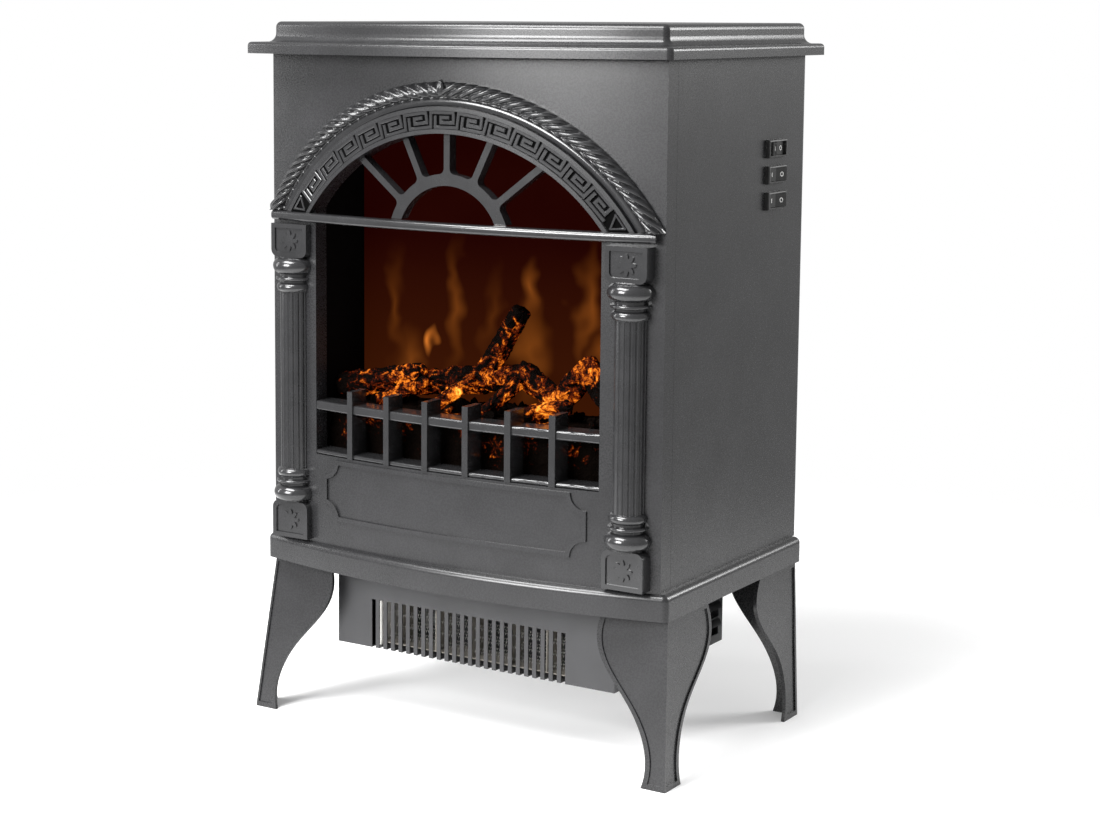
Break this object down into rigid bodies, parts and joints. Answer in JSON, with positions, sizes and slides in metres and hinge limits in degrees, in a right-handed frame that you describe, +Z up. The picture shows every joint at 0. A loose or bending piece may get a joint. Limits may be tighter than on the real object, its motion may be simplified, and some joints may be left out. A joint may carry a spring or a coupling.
{
  "type": "electric fireplace stove",
  "caption": "Free-standing electric stove with a bowed front, arched window with logs and a flame screen, fluted columns, sunburst grille, curved legs and a fan heater underneath",
  "frame": {"origin": "On the floor, under the middle of the lid's outline", "axes": "+X is right as seen from the front, the front faces -Y, +Z is up"},
  "size_m": [0.38, 0.284, 0.56],
  "materials": {
    "black_enamel": "semi-gloss black stove enamel on pressed and cast metal",
    "black_sheet": "satin black paint on thin sheet steel",
    "zinc_steel": "zinc-plated steel",
    "housing_plastic": "matte black moulded plastic",
    "rocker_plastic": "glossy black moulded plastic",
    "screen_plastic": "dark red translucent sheet with a fine diffusing grain",
    "bright_aluminium": "bright aluminium sheet and foil",
    "bush_brass": "turned brass",
    "ember_resin": "cast translucent resin, painted and lit from below",
    "log_resin": "cast translucent resin, painted as glowing bark",
    "board_green": "green laminate with clear lights",
    "driver_white": "white moulded plastic",
    "mica": "pressed mica board",
    "heating_alloy": "drawn heating wire",
    "ceramic_white": "glazed white ceramic"
  },
  "bodies": {
    "stove": {"top_cover": "black_enamel", "front_panel": "black_enamel", "left_side_panel": "black_enamel", "right_side_panel": "black_enamel", "base_skirt": "black_enamel", "front_left_leg": "black_enamel", "front_right_leg": "black_enamel", "rear_left_leg": "black_enamel", "rear_right_leg": "black_enamel", "key_band": "black_enamel", "rope_arch": "black_enamel", "transom_bar": "black_enamel", "sunburst": "black_enamel", "left_column": "black_enamel", "right_column": "black_enamel", "upper_left_block": "black_enamel", "upper_right_block": "black_enamel", "lower_left_block": "black_enamel", "lower_right_block": "black_enamel", "log_fender": "black_enamel", "back_panel": "black_sheet", "fire_deck": "black_sheet", "firebox_left_wall": "black_sheet", "firebox_right_wall": "black_sheet", "firebox_ceiling": "black_sheet", "heater_box": "black_sheet", "back_panel_screws": "zinc_steel", "leg_screws": "zinc_steel", "heater_box_screws": "zinc_steel", "blower_scroll": "zinc_steel", "spindle_motor": "zinc_steel", "blower_motor": "zinc_steel", "cord_gland": "housing_plastic", "main_switch_housing": "housing_plastic", "low_heat_switch_housing": "housing_plastic", "high_heat_switch_housing": "housing_plastic", "flame_screen": "screen_plastic", "flame_mask": "bright_aluminium", "spindle_bushes": "bush_brass", "ember_bed": "ember_resin", "log_set": "log_resin", "ember_light_board": "board_green", "flame_light_board": "board_green", "led_driver": "driver_white", "terminal_block": "driver_white", "heating_element": "mica", "heating_wires": "heating_alloy", "element_end_clips": "ceramic_white", "thermal_cutout": "ceramic_white"},
    "main_rocker": {"main_switch_rocker": "rocker_plastic"},
    "low_heat_rocker": {"low_heat_switch_rocker": "rocker_plastic"},
    "high_heat_rocker": {"high_heat_switch_rocker": "rocker_plastic"},
    "spindle": {"flame_spindle": "bright_aluminium"},
    "blower": {"blower_wheel": "bright_aluminium"}
  },
  "joints": [
    {"name": "main_rocker_hinge", "type": "hinge", "parent": "stove", "child": "main_rocker", "pos_m": [0.1783, 0.077, 0.4634], "axis": [0, 0, 1], "range_deg": [-16, 0]},
    {"name": "low_heat_rocker_hinge", "type": "hinge", "parent": "stove", "child": "low_heat_rocker", "pos_m": [0.1783, 0.077, 0.4431], "axis": [0, 0, 1], "range_deg": [0, 16]},
    {"name": "high_heat_rocker_hinge", "type": "hinge", "parent": "stove", "child": "high_heat_rocker", "pos_m": [0.1783, 0.077, 0.4228], "axis": [0, 0, 1], "range_deg": [0, 16]},
    {"name": "spindle_spin", "type": "hinge", "parent": "stove", "child": "spindle", "pos_m": [0, 0, 0.2622], "axis": [1, 0, 0], "continuous": true},
    {"name": "blower_spin", "type": "hinge", "parent": "stove", "child": "blower", "pos_m": [-0.01, 0.015, 0.097], "axis": [1, 0, 0], "continuous": true}
  ]
}
